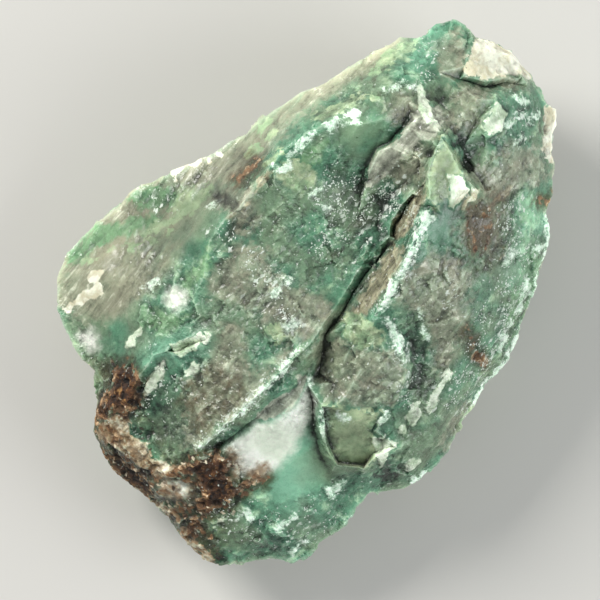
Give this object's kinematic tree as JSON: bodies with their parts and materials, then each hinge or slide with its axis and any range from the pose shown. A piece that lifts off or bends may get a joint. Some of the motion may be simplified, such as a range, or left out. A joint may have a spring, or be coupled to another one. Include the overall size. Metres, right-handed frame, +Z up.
{
  "type": "raw jade",
  "caption": "Rough broken lump of green jade: ledged, flaked upper face, iron-stained corner, flat break to lie on.",
  "frame": {"origin": "on the surface the stone lies on, below the middle of its bounding box", "axes": "+Z up, out of the broad broken face; +Y along the stone's longer side seen from above, towards its narrow end; +X across it"},
  "size_m": [0.0802, 0.0874, 0.0393],
  "materials": {
    "jade": "rough break with a slightly waxy sheen"
  },
  "bodies": {
    "root": {"raw_jade": "jade"}
  },
  "joints": []
}
